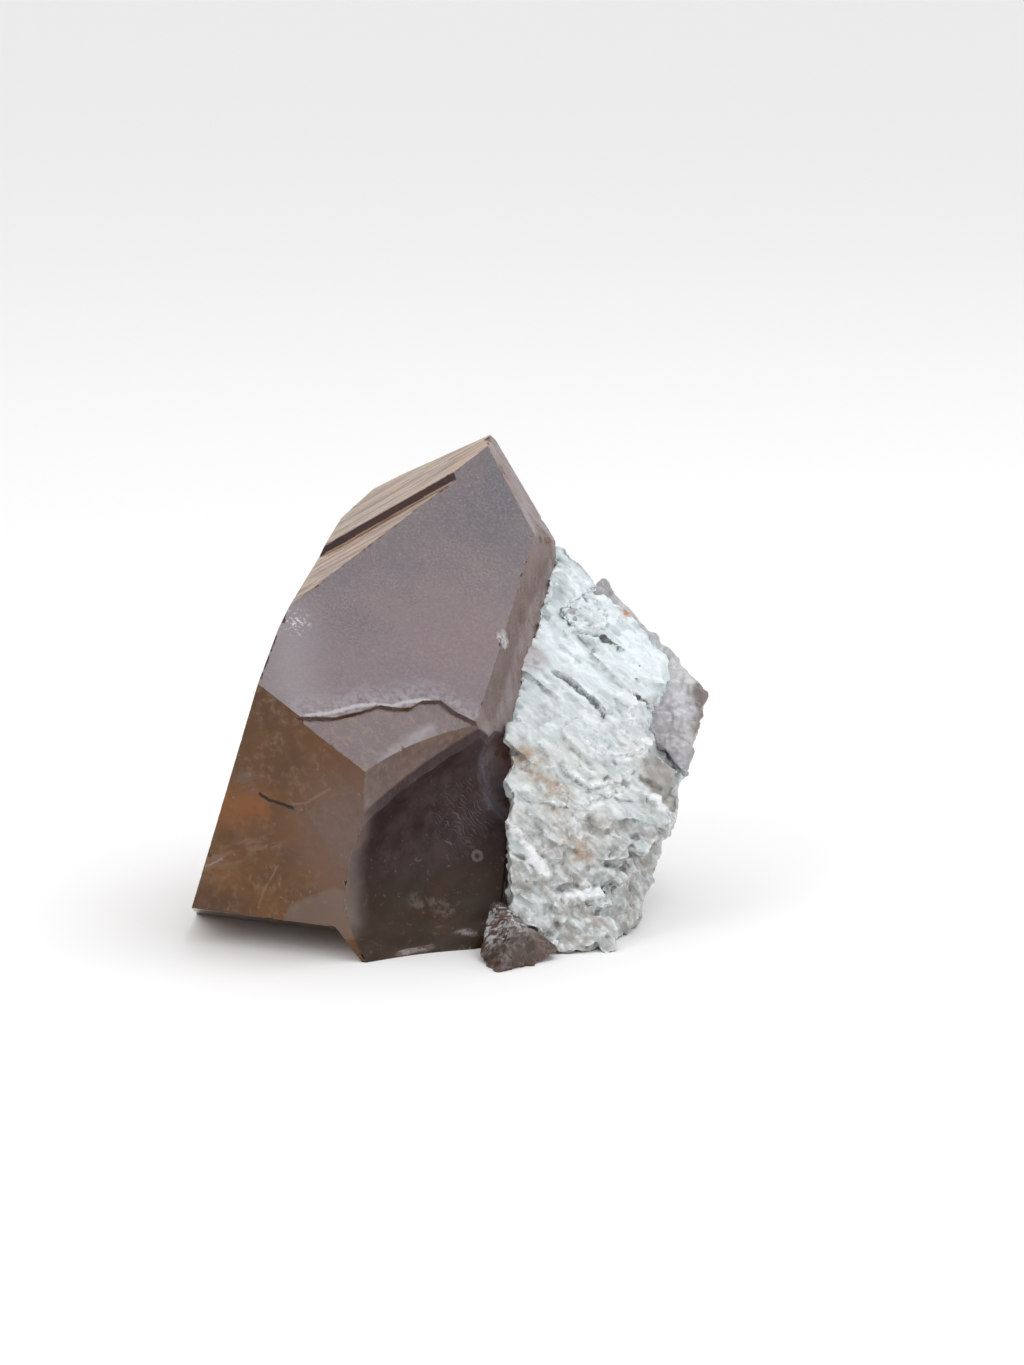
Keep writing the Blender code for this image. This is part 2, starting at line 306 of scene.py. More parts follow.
def densify(piece, longest):
    """Split edges that are longer than a length, in a few rounds; flat faces stay flat."""
    make_active(piece)
    for _ in range(SPLIT_ROUNDS):
        bpy.ops.object.mode_set(mode="EDIT")
        bpy.ops.mesh.select_all(action="SELECT")
        bpy.ops.mesh.quads_convert_to_tris()
        bpy.ops.mesh.select_all(action="DESELECT")
        bpy.ops.mesh.select_mode(type="EDGE")
        mesh = bmesh.from_edit_mesh(piece.data)
        long_edges = [edge for edge in mesh.edges if edge.calc_length() > longest]
        for edge in long_edges:
            edge.select_set(True)
        bmesh.update_edit_mesh(piece.data)
        if long_edges:
            bpy.ops.mesh.subdivide(number_cuts=1)
        bpy.ops.object.mode_set(mode="OBJECT")
        if not long_edges:
            return


def crisp_edges(piece, degrees, spacing):
    """Points along the edges of a piece that are sharper than an angle, for nearest searches."""
    mesh = bmesh.new()
    mesh.from_mesh(piece.data)
    points = []
    for edge in mesh.edges:
        if len(edge.link_faces) == 2 and edge.calc_face_angle() > math.radians(degrees):
            a, b = (vert.co for vert in edge.verts)
            steps = max(1, round((a - b).length / spacing))
            points += [a.lerp(b, i / steps) for i in range(steps + 1)]
    mesh.free()
    tree = KDTree(len(points))
    for i, point in enumerate(points):
        tree.insert(point / MM - MIDDLE, i)
    tree.balance()
    return tree


def displace(piece, rule):
    """Move every point of a piece by what a rule says of its place and outward direction.

    Nothing sinks below the floor.
    """
    noise.seed_set(NOISE_SEED)
    mesh = piece.data
    for vertex, normal in zip(mesh.vertices, [Vector(item.vector) for item in mesh.vertex_normals]):
        vertex.co += rule(vertex.co / MM - MIDDLE, normal) * MM
        vertex.co.z = max(vertex.co.z, 0.0)
    mesh.update()


def smooth_by_angle(piece, degrees):
    """Smooth shading, with edges sharper than an angle kept crisp."""
    make_active(piece)
    bpy.ops.object.shade_smooth_by_angle(angle=math.radians(degrees))


def finish_piece(piece, node):
    """The piece stands for its CAD solid, which it hides, and hangs from the root empty."""
    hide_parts(node)
    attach(piece, "root")


class Shades:
    """Small helper that adds and links the nodes of one procedural material."""

    def __init__(self, name):
        self.material = bpy.data.materials.new(name)
        self.material.use_nodes = True
        self.tree = self.material.node_tree
        self.shader = self.tree.nodes["Principled BSDF"]
        self.output = self.tree.nodes["Material Output"]
        geometry = self.tree.nodes.new("ShaderNodeNewGeometry")
        self.normal = geometry.outputs["Normal"]
        self.pointiness = geometry.outputs["Pointiness"]
        metres = self.tree.nodes.new("ShaderNodeTexCoord").outputs["Object"]
        self.place = self.vector("SUBTRACT", self.vector("SCALE", metres, 1.0 / MM), MIDDLE)

    def set(self, socket, value):
        """Put a plain value or a link on a socket."""
        if isinstance(value, bpy.types.NodeSocket):
            self.tree.links.new(value, socket)
        elif hasattr(socket.default_value, "__len__"):
            values = [*value, 1.0] if hasattr(value, "__len__") else [value] * 4
            socket.default_value = values[:len(socket.default_value)]
        else:
            socket.default_value = value

    def shape(self, name, value):
        """Set a socket of the surface shader."""
        self.set(self.shader.inputs[name], value)

    def math(self, operation, a, b=0.0, clamp=False):
        """One arithmetic node."""
        node = self.tree.nodes.new("ShaderNodeMath")
        node.operation = operation
        node.use_clamp = clamp
        self.set(node.inputs[0], a)
        self.set(node.inputs[1], b)
        return node.outputs[0]

    def product(self, *values):
        """Values multiplied together."""
        result = values[0]
        for value in values[1:]:
            result = self.math("MULTIPLY", result, value)
        return result

    def vector(self, operation, a, b=(0.0, 0.0, 0.0)):
        """One vector node."""
        node = self.tree.nodes.new("ShaderNodeVectorMath")
        node.operation = operation
        self.set(node.inputs[0], a)
        self.set(node.inputs["Scale" if operation == "SCALE" else 1], b)
        return node.outputs["Value" if operation in ("DOT_PRODUCT", "LENGTH", "DISTANCE") else "Vector"]

    def along(self, way, vector=None):
        """Distance along a direction, from the middle of the specimen."""
        return self.vector("DOT_PRODUCT", self.place if vector is None else vector, way)

    def stretched(self, way, share):
        """Place squeezed along a direction, so that patterns run long that way."""
        shift = self.math("MULTIPLY", self.along(way), share - 1.0)
        return self.vector("ADD", self.place, self.vector("SCALE", way, shift))

    def noise(self, size, detail=3.0, rough=0.55, vector=None, colour=False):
        """Cloudy noise whose lumps are about one size."""
        node = self.tree.nodes.new("ShaderNodeTexNoise")
        self.set(node.inputs["Vector"], self.place if vector is None else vector)
        self.set(node.inputs["Scale"], 1.0 / size)
        self.set(node.inputs["Detail"], detail)
        self.set(node.inputs["Roughness"], rough)
        return node.outputs["Color" if colour else 0]

    def ramp(self, value, low, high, start=0.0, end=1.0):
        """Smooth step of a value between two limits."""
        node = self.tree.nodes.new("ShaderNodeMapRange")
        node.interpolation_type = "SMOOTHSTEP"
        for socket, number in zip(node.inputs, (value, low, high, start, end)):
            self.set(socket, number)
        return node.outputs[0]

    def clouds(self, size, low, high, detail=5.0, rough=0.62, vector=None):
        """Soft patches of noise between two limits."""
        return self.ramp(self.noise(size, detail, rough, vector), low, high)

    def mix(self, share, a, b):
        """Blend of two colours."""
        node = self.tree.nodes.new("ShaderNodeMix")
        node.data_type = "RGBA"
        self.set(node.inputs[0], share)
        self.set(node.inputs[6], a)
        self.set(node.inputs[7], b)
        return node.outputs[2]

    def over(self, tint, colour, *masks):
        """Tint with a colour laid over it, as far as all masks let it."""
        return self.mix(self.product(*masks), tint, colour)

    def shaken(self, size, reach):
        """Place on the piece, shaken by noise, so that a patch gets a ragged edge."""
        shake = self.vector("SUBTRACT", self.noise(size, colour=True), MID_COLOUR)
        return self.vector("ADD", self.place, self.vector("SCALE", shake, 2.0 * reach))

    def spot(self, centre, radius, soft=0.5, vector=None):
        """1 near a point, fading to 0 at its radius."""
        away = self.vector("DISTANCE", self.place if vector is None else vector, centre)
        return self.ramp(away, radius, radius * (1.0 - soft))

    def line(self, points, width, soft=0.6, vector=None):
        """1 along a broken line, fading to 0 at its width."""
        place = self.place if vector is None else vector
        nearest = None
        for start, end in zip(points, points[1:]):
            way = end - start
            from_start = self.vector("SUBTRACT", place, start)
            share = self.math("MULTIPLY", self.vector("DOT_PRODUCT", from_start, way),
                              1.0 / way.length_squared, clamp=True)
            foot = self.vector("ADD", start, self.vector("SCALE", way, share))
            away = self.vector("DISTANCE", place, foot)
            nearest = away if nearest is None else self.math("MINIMUM", nearest, away)
        return self.ramp(nearest, width, width * (1.0 - soft))

    def inside(self, shape, edge=1.02, fade=0.012):
        """1 on the surface of a rounded break and inside it."""
        middle, axes = break_axes(shape)
        from_middle = self.vector("SUBTRACT", self.place, middle)
        squares = None
        for axis in axes:
            share = self.vector("DOT_PRODUCT", from_middle, axis)
            square = self.math("MULTIPLY", share, share)
            squares = square if squares is None else self.math("ADD", squares, square)
        return self.ramp(self.math("SQRT", squares), edge + fade, edge)

    def facing(self, face, low=0.985, high=0.995):
        """1 where the surface looks along a face's direction."""
        return self.ramp(self.vector("DOT_PRODUCT", self.normal, direction(*face[:2])), low, high)

    def plates(self, size, vector):
        """Random colour of each cell in a pattern of broken plates."""
        node = self.tree.nodes.new("ShaderNodeTexVoronoi")
        self.set(node.inputs["Vector"], vector)
        self.set(node.inputs["Scale"], 1.0 / size)
        return node.outputs["Color"]

    def tilted(self, cells, reach):
        """Surface direction, tipped a little another way in each cell."""
        tip = self.vector("SCALE", self.vector("SUBTRACT", cells, MID_COLOUR), reach)
        return self.vector("NORMALIZE", self.vector("ADD", self.normal, tip))

    def bump(self, height, strength, distance, under=None):
        """Fine relief from a height pattern."""
        node = self.tree.nodes.new("ShaderNodeBump")
        self.set(node.inputs["Height"], height)
        self.set(node.inputs["Strength"], strength)
        self.set(node.inputs["Distance"], distance * MM)
        if under is not None:
            self.set(node.inputs["Normal"], under)
        return node.outputs[0]

    def absorb(self, colour, density):
        """Plain absorption of light inside a clear crystal."""
        node = self.tree.nodes.new("ShaderNodeVolumeAbsorption")
        self.set(node.inputs["Color"], colour)
        self.set(node.inputs["Density"], density)
        self.tree.links.new(node.outputs[0], self.output.inputs["Volume"])


def lower_left_tint(s, look, ragged, fuzzy):
    """Clear brown with a rusty stain, veils, scratches, a hazy right side, and a pale patch at the foot that
    is partly painted light from the floor.
    """
    tint = s.mix(s.clouds(9.0, 0.36, 0.66), look.body, look.deep)
    tint = s.over(tint, look.deep, s.ramp(s.along(UP, ragged), -11.0, -4.0), 0.5)
    tint = s.over(tint, look.veil, s.clouds(1.0, 0.44, 0.7), s.clouds(6.0, 0.36, 0.6), 0.4)
    tint = s.over(tint, look.rust, s.line(STAIN, 4.2, 1.0, ragged), s.clouds(3.0, 0.3, 0.6), 0.9)
    tint = s.over(tint, look.haze, s.spot(HAZY_SIDE, 12.0, 0.9, ragged), s.clouds(4.0, 0.15, 0.5), 0.8)
    streaks = s.clouds(1.1, 0.42, 0.62, 4.0, 0.6, s.stretched(direction(*VEIL_WAY), 0.3))
    tint = s.over(tint, look.veil, s.line(VEIL_BAND, 3.2, 1.0, ragged), streaks, 0.4)
    tint = s.over(tint, look.haze, s.spot(VEIL_SPOT, 3.2, 1.0, ragged), streaks, 0.6)
    # Pale patch at the foot: partly painted light bounced from the floor
    tint = s.over(tint, look.stone, s.line(PALE_PATCH, 2.3, 0.3, fuzzy), 0.5)
    tint = s.over(tint, look.frost, s.line(CORNER_LINE, 0.2, 0.9, fuzzy), 0.6)
    tint = s.over(tint, look.veil, s.line(SCRATCH, 0.2, 0.9, fuzzy), 0.45)
    tint = s.over(tint, look.veil, s.line(CRACK_TAIL, 0.25, 0.9, fuzzy), 0.4)
    return s.mix(s.line(CRACK, 0.24, 0.45, fuzzy), tint, look.crack)


def front_tint(s, look, ragged, fuzzy):
    """Mauve haze with part of the face's reflection painted in, bluish at the tip, with a darker spot, a
    flaked foot where that painted reflection is fainter, and frosting above it.
    """
    _, up, out = axes_of(FRONT_FACE)
    # The mauve holds the front face's reflection of the room as painted reflection, over the haze inside
    tint = s.mix(s.ramp(s.along(up, ragged), 8.0, 32.0), look.mauve, look.blue_grey)
    tint = s.over(tint, look.haze, s.clouds(8.0, 0.36, 0.66), 0.3)
    tint = s.over(tint, look.blue_grey, s.spot(DARK_HAZE, 5.0, 1.0, ragged), 0.4)
    tint = s.over(tint, look.frost, s.line(PALE_EDGE, 6.0, 1.0, ragged), 0.35)
    # The flaked foot's colour holds a fainter painted reflection
    flaked = s.mix(s.clouds(2.4, 0.42, 0.72), look.flaked, look.mauve)
    flaked = s.over(flaked, look.veil, s.clouds(1.0, 0.42, 0.7), 0.4)
    flaked = s.over(flaked, look.frost, s.line(FOOT_STREAK, 1.5, 1.0, ragged), 0.6)
    tint = s.over(tint, look.frost, s.clouds(0.35, 0.4, 0.66), 0.16)
    unflaked = s.ramp(s.along(out), 0.0, 0.22)
    frosting = s.product(s.line(LEDGE, 4.2, 1.0, ragged), s.clouds(0.8, 0.34, 0.62), unflaked)
    tint = s.mix(unflaked, flaked, tint)
    tint = s.over(tint, look.frost, frosting, 0.75)
    return s.over(tint, look.white, s.line(LEDGE, 0.4, 0.8, fuzzy), unflaked, 0.75)


def hollow_tint(s, look, ragged, fuzzy):
    """Dark broken hollow in painted shade over its own dark brown, violet above and olive brown at the foot,
    with fine lines and marks, and a pale patch of painted light at the foot.
    """
    low = s.ramp(s.along(UP, ragged), -17.0, -23.0)
    # Painted shade of the undercut hollow, over the crystal's own dark brown, mottled with paler clouds
    mottled = s.mix(s.clouds(2.2, 0.35, 0.7), look.shadow, look.dusk)
    tint = s.mix(low, mottled, s.mix(s.product(s.clouds(3.0, 0.4, 0.75), 0.4), look.olive, look.deep))
    tint = s.over(tint, look.smoke, s.spot(HOLLOW_HAZE, 3.6, 1.0, ragged), 0.5)
    tint = s.over(tint, look.stone, s.line(HOLLOW_VEIL, 4.4, 1.0, ragged), 0.9)
    # Pale patch, partly painted light on the upturned foot of the hollow
    tint = s.over(tint, look.stone, s.line(HOLLOW_PATCH, 1.5, 0.6, ragged), s.clouds(1.2, 0.45, 0.6), 0.45)
    spread = s.math("ADD", s.along(direction(*FINE_LINE_WAY)), s.math("MULTIPLY", s.noise(2.5), 2.2))
    hackle = s.ramp(s.math("SINE", s.math("MULTIPLY", spread, 15.0)), 0.45, 0.95)
    fan = s.product(s.spot(FINE_LINES, 7.0, 0.8, ragged), hackle, s.clouds(1.0, 0.4, 0.6))
    tint = s.over(tint, look.smoke, fan, 0.75)
    dust = s.product(s.clouds(0.6, 0.56, 0.7), s.clouds(3.5, 0.45, 0.6))
    tint = s.over(tint, look.stone, dust, 0.45)
    ring = s.ramp(s.math("ABSOLUTE", s.math("SUBTRACT", s.vector("DISTANCE", fuzzy, RING), 0.55)), 0.3, 0.12)
    tint = s.over(tint, look.stone, ring, 0.75)
    return s.over(tint, look.stone, s.line(HOLLOW_SCRATCH, 0.2, 0.8, fuzzy), 0.6)


def smoky_material(look):
    """Clear brown quartz with cloudy veils, frosted patches and fine growth lines, with some reflection,
    highlights and shade painted in.
    """
    s = Shades("smoky_quartz")
    ragged = s.shaken(1.8, 1.0)
    fuzzy = s.shaken(0.5, 0.22)
    front = s.facing(FRONT_FACE)
    lower_left = s.facing(LOWER_LEFT_FACE)
    upper_left = s.facing(UPPER_LEFT_FACE)
    right = s.math("MAXIMUM", s.facing(RIGHT_FACE, 0.9, 0.97), s.facing(UPPER_RIGHT_FACE, 0.9, 0.97))
    flat = s.math("MAXIMUM", front, lower_left)
    rough_part = s.math("SUBTRACT", 1.0, flat, clamp=True)

    level_lines = s.clouds(0.6, 0.46, 0.62, vector=s.vector("MULTIPLY", s.place, (0.1, 0.1, 1.0)))
    body = s.mix(s.clouds(9.0, 0.36, 0.64), look.deep, look.body)
    body = s.over(body, look.haze, s.clouds(5.0, 0.42, 0.7), 0.6)
    body = s.over(body, look.veil, level_lines, s.clouds(7.0, 0.35, 0.6), 0.4)
    body = s.mix(lower_left, body, lower_left_tint(s, look, ragged, fuzzy))

    chip_middle, chip_radius = CORNER_CHIP
    from_chip = s.math("SUBTRACT", s.vector("DISTANCE", s.place, chip_middle), chip_radius)
    chip = s.product(s.ramp(s.math("ABSOLUTE", from_chip), 0.9, 0.5), rough_part)
    chip_mix = s.mix(s.clouds(4.0, 0.3, 0.6), look.band, look.haze)
    chip_mix = s.over(chip_mix, look.veil, s.clouds(1.0, 0.42, 0.66), 0.4)
    body = s.mix(chip, body, chip_mix)

    side = s.mix(s.clouds(2.2, 0.4, 0.65, vector=s.stretched(UP, 0.4)), look.right_side, look.lilac)
    side = s.over(side, look.band, s.line(SIDE_STRIP, 3.2, 0.35, ragged), 0.7)
    body = s.over(body, side, right, 0.9)

    hollow = s.product(s.inside(FRONT_BREAK), rough_part)
    body = s.mix(hollow, body, hollow_tint(s, look, ragged, fuzzy))
    side_middle, side_radius = SIDE_CHIP
    facet = s.product(s.spot(side_middle, side_radius + 0.5, 0.09), rough_part)
    body = s.over(body, s.mix(s.clouds(2.5, 0.3, 0.6), look.dusk, look.steel), facet, 0.95)
    # Painted highlight on a glossy spot of the hollow, in the frost colour
    painted_highlight = s.product(s.spot(HIGHLIGHT_SPOT, 1.9, 0.9, ragged), s.clouds(0.5, 0.55, 0.68))
    body = s.mix(painted_highlight, body, look.frost)

    body = s.mix(s.line(LEDGE, 1.0, 0.4), body, look.haze)
    body = s.mix(front, body, front_tint(s, look, ragged, fuzzy))
    corner = s.product(s.spot(CORNER_DUST, 3.2, 1.0, ragged), s.clouds(0.5, 0.52, 0.62))
    body = s.over(body, look.white, corner, front)

    riser_way = direction(*UPPER_LEFT_FACE).cross(direction(*STEP_RISER)).normalized()
    streaks = s.stretched(riser_way, 0.07)
    pale = s.mix(s.clouds(0.8, 0.42, 0.58, vector=streaks), look.straw, look.tan)
    # The cream streaks are partly painted highlights along the growth streaks
    pale = s.over(pale, look.cream, s.clouds(0.4, 0.5, 0.64, vector=streaks), 0.7)
    body = s.over(body, pale, upper_left, 0.95)
    # Painted shade on the riser of the growth step, in the shadow colour
    body = s.mix(s.facing(STEP_RISER, 0.97, 0.99), body, look.shadow)
    body = s.over(body, look.white, s.spot(EDGE_CHIP, 1.5, 0.5, ragged), s.clouds(0.6, 0.4, 0.5))
    speck = s.ramp(s.noise(0.5, 2.0, 0.5), 0.7, 0.78)
    body = s.over(body, look.frost, speck, 0.4)

    s.shape("Base Color", body)
    s.shape("IOR", look.refraction)
    s.shape("Specular IOR Level", look.gloss)
    s.shape("Transmission Weight", look.clearness)
    smear = s.ramp(s.noise(3.0, 5.0, 0.65), 0.45, 0.8, 0.07, 0.22)
    for mask, amount in ((hollow, 0.4), (right, 0.2), (s.line(LEDGE, 2.6, 1.0, ragged), 0.2)):
        smear = s.math("ADD", smear, s.product(mask, amount))
    s.shape("Roughness", smear)
    s.shape("Normal", s.bump(s.noise(0.7, 4.0, 0.6), s.product(rough_part, 0.35), 0.06))
    s.absorb(look.absorption_colour, look.absorption)
    return s.material


def feldspar_material(look):
    """White feldspar: bluish blades above with their pearly sheen painted in, painted glints on its plates,
    creamy ledges, greyer, tan grains below, and painted shade in its creases, grooves and pits.
    """
    s = Shades("feldspar")
    ragged = s.shaken(2.5, 1.6)
    fuzzy = s.shaken(0.7, 0.4)
    high = s.ramp(s.along(UP, ragged), -7.5, -1.0)
    low = s.ramp(s.along(UP, ragged), -12.0, -17.0)
    fibres = s.stretched(BLADE_WAY, 0.16)
    fibre = s.clouds(0.7, 0.36, 0.66, 4.0, 0.6, fibres)
    broad = s.clouds(3.0, 0.35, 0.65, 4.0, 0.6, s.stretched(BLADE_WAY, 0.4))

    warped = s.vector("ADD", s.stretched(BLADE_WAY, 0.4), s.vector("SCALE", s.noise(1.5, colour=True), 1.6))
    cells = s.plates(look.plate, warped)
    # The bluish white of the upper blades holds their pearly sheen as painted sheen
    tint = s.mix(high, look.cream, look.blue_white)
    tint = s.mix(low, tint, look.low_grey)
    tone = s.vector("DOT_PRODUCT", cells, (0.5, 0.5, 0.0))
    tint = s.mix(s.ramp(tone, 0.5, 0.2, 0.0, 0.6), tint, look.green_grey)
    # Painted glints: a random share of the plates is lightened to the bright colour, as if catching the
    # light
    tint = s.mix(s.ramp(tone, 0.62, 0.85, 0.0, 0.6), tint, look.bright)
    tint = s.over(tint, look.green_grey, broad, 0.7)
    tint = s.over(tint, look.bright, fibre, 0.45)
    tint = s.over(tint, look.bright, s.clouds(1.1, 0.54, 0.66), low, 0.5)
    tint = s.over(tint, look.dim, s.clouds(1.7, 0.46, 0.62), low, 0.6)
    tint = s.over(tint, look.dim, s.line(SMOOTH_GREY, 3.6, 0.6, ragged), 0.8)
    tan = s.math("MAXIMUM", s.line(TAN_BAND, 3.0, 0.8, ragged), s.line(TAN_SPOT, 1.8, 0.8, ragged))
    tint = s.over(tint, look.tan, tan, s.clouds(1.6, 0.36, 0.58), 0.85)
    tint = s.over(tint, look.crust, s.spot(CRUST, 3.4, 0.6, ragged), 0.75)
    tint = s.mix(s.spot(ORANGE_SPOT, 1.7, 0.5, ragged), tint, look.rust)

    # Painted shade: darker in the creases and hollows of the mesh, found from its pointiness
    tint = s.mix(s.ramp(s.pointiness, 0.49, 0.42, 0.0, 0.75), tint, look.groove)
    tint = s.mix(s.ramp(s.pointiness, 0.525, 0.6, 0.0, 0.8), tint, look.bright)
    for points in RIDGES:
        tint = s.over(tint, look.bright, s.line(points, 0.9, 0.5, fuzzy), 0.85)
    for points in LIPS:
        tint = s.over(tint, look.bright, s.line(points, 0.7, 0.8, fuzzy), 0.8)
    # Painted shade along the grooves and in the pits
    for points in GROOVES:
        tint = s.over(tint, look.groove, s.line(points, 0.34, 0.6, fuzzy), 0.8)
    for place in PITS:
        tint = s.over(tint, look.groove, s.spot(place, 0.9, 0.7, fuzzy), 0.7)

    s.shape("Base Color", tint)
    s.shape("Roughness", s.ramp(s.noise(1.5, 4.0, 0.6), 0.35, 0.75, 0.2, 0.5))
    s.shape("IOR", 1.53)
    s.shape("Subsurface Weight", 0.12)
    s.shape("Subsurface Radius", (1.0, 0.95, 0.85))
    s.shape("Subsurface Scale", look.glow * MM)
    grain = s.bump(s.noise(0.4, 4.0, 0.7), 0.35, 0.08, s.tilted(cells, look.glint))
    s.shape("Normal", s.bump(s.noise(0.6, 4.0, 0.6, fibres), 0.6, 0.14, grain))
    return s.material


def shoulder_material(look):
    """Pale glassy smoky quartz with white streaks, browner at its outer edge."""
    s = Shades("grey_quartz")
    ragged = s.shaken(2.0, 1.2)
    streak = s.clouds(0.9, 0.4, 0.62, 4.0, 0.6, s.stretched(direction(*SHOULDER_WAY), 0.25))
    body = s.mix(s.clouds(2.5, 0.35, 0.65), look.grey, look.pale)
    body = s.over(body, look.flake, streak, 0.6)
    body = s.over(body, look.brown, s.ramp(s.along((1.0, 0.0, 0.0), ragged), 29.0, 31.5), 0.8)
    top = s.ramp(s.along((0.9, 0.0, 0.44), ragged), 24.0, 20.0)
    body = s.over(body, look.lilac, top, 0.5)
    body = s.over(body, look.flake, s.line(SHOULDER_WHITE, 2.2, 0.7, ragged), 0.8)
    body = s.mix(s.spot(ORANGE_SPOT, 1.7, 0.5, ragged), body, look.rust)
    finish_cloudy(s, body, look)
    return s.material


def foot_material(look):
    """Dark smoky quartz, streaked with flakes of feldspar."""
    s = Shades("dark_quartz")
    ragged = s.shaken(1.2, 0.7)
    body = s.mix(s.clouds(2.0, 0.35, 0.65), look.dark, look.brown)
    streaks = s.clouds(0.7, 0.45, 0.57, 4.0, 0.65, s.stretched(direction(*FOOT_WAY), 0.35))
    where = s.spot(FOOT_FLAKES, 5.4, 0.6, ragged)
    body = s.over(body, look.flake, streaks, where, 0.85)
    body = s.over(body, look.grey, s.clouds(1.0, 0.52, 0.66), 0.5)
    finish_cloudy(s, body, look)
    return s.material


def finish_cloudy(s, body, look):
    """Half clear, roughly broken quartz under a colour pattern."""
    s.shape("Base Color", body)
    s.shape("IOR", look.refraction)
    s.shape("Specular IOR Level", 0.4)
    s.shape("Transmission Weight", look.clearness)
    s.shape("Roughness", s.ramp(s.noise(1.4, 4.0, 0.6), 0.4, 0.7, 0.14, 0.4))
    s.shape("Normal", s.bump(s.noise(0.8, 4.0, 0.6), 0.4, 0.12))
    s.absorb(look.absorption_colour, look.absorption)


def floor_material(look):
    """Plain pale studio floor."""
    s = Shades("floor")
    s.shape("Base Color", look.floor_colour)
    s.shape("Roughness", 0.9)
    s.shape("Specular IOR Level", 0.2)
    return s.material


def colour(name, description, default):
    """Colour setting, in linear light."""
    return FloatVectorProperty(name=name, description=description, default=default, size=3,
                               subtype="COLOR", min=0.0, max=1.0)


def share(name, description, default):
    """Setting between 0 and 1."""
    return FloatProperty(name=name, description=description, default=default, min=0.0, max=1.0,
                         subtype="FACTOR")


def number(name, description, default):
    """Plain setting that isn't below 0."""
    return FloatProperty(name=name, description=description, default=default, min=0.0)


def length(name, description, default):
    """Length setting, in metres."""
    return FloatProperty(name=name, description=description, default=default, min=0.0,
                         subtype="DISTANCE", unit="LENGTH")


class SmokyQuartzSettings(bpy.types.PropertyGroup):
    """Look of the main crystal"""
    body: colour("Body", "Warm brown of the lower left face", (0.26, 0.105, 0.022))
    deep: colour("Deep brown", "Darkest clear brown", (0.14, 0.06, 0.018))
    haze: colour("Haze", "Colour of cloudy parts", (0.25, 0.17, 0.15))
    veil: colour("Veil", "Tan veils and scratches", (0.44, 0.29, 0.19))
    stone: colour("Stone", "Pale grey patches", (0.33, 0.25, 0.22))
    rust: colour("Rust", "Orange brown stain", (0.36, 0.13, 0.03))
    crack: colour("Crack", "Inside of the crack", (0.008, 0.005, 0.004))
    # Mauve: the haze behind the front face, with its reflection of the room painted in
    mauve: colour("Mauve", "Haze behind the front face", (0.19, 0.115, 0.14))
    blue_grey: colour("Blue grey", "Haze behind the tip", (0.062, 0.045, 0.072))
    # Flaked: the stepped-down foot, with a fainter painted reflection over its haze
    flaked: colour("Flaked", "Foot of the front face", (0.175, 0.105, 0.108))
    band: colour("Band", "Rounded chip below the front face", (0.20, 0.11, 0.085))
    # Shadow paints the shade of the undercut hollow and of the step's riser, over the crystal's own dark
    # brown
    shadow: colour("Shadow", "Dark violet brown of the hollow", (0.05, 0.021, 0.022))
    dusk: colour("Dusk", "Paler clouds in the hollow", (0.095, 0.055, 0.056))
    olive: colour("Olive", "Foot of the hollow", (0.055, 0.026, 0.009))
    smoke: colour("Smoke", "Fine lines in the hollow", (0.22, 0.19, 0.21))
    steel: colour("Steel", "Small blue grey facet", (0.25, 0.25, 0.31))
    right_side: colour("Right side", "Brown of the rough right side", (0.33, 0.23, 0.20))
    lilac: colour("Lilac", "Haze on the rough right side", (0.47, 0.38, 0.40))
    straw: colour("Straw", "Pale streaks of the upper left face", (0.72, 0.49, 0.33))
    tan: colour("Tan", "Darker streaks beside them", (0.30, 0.165, 0.095))
    # Cream: the palest streaks, partly painted highlights
    cream: colour("Cream", "Palest streaks beside them", (0.90, 0.80, 0.70))
    frost: colour("Frost", "Frosted patches and scratches", (0.50, 0.45, 0.50))
    white: colour("White", "White specks", (0.80, 0.79, 0.82))
    refraction: number("Refraction", "Refractive index of quartz", 1.544)
    gloss: share("Gloss", "Strength of the mirror reflection, 0.5 is that of the refractive index", 0.15)
    clearness: share("Clearness", "Share of light that passes the surface", 0.5)
    absorption: number("Absorption", "How soon the crystal swallows light", 150.0)
    absorption_colour: colour("Inner colour", "Colour that light keeps inside", (0.62, 0.36, 0.18))
    edge_wear: length("Edge wear", "Width of the worn crystal edges", 0.1 * MM)
    fineness: length("Fineness", "Longer mesh edges are split, in a few rounds", 0.85 * MM)


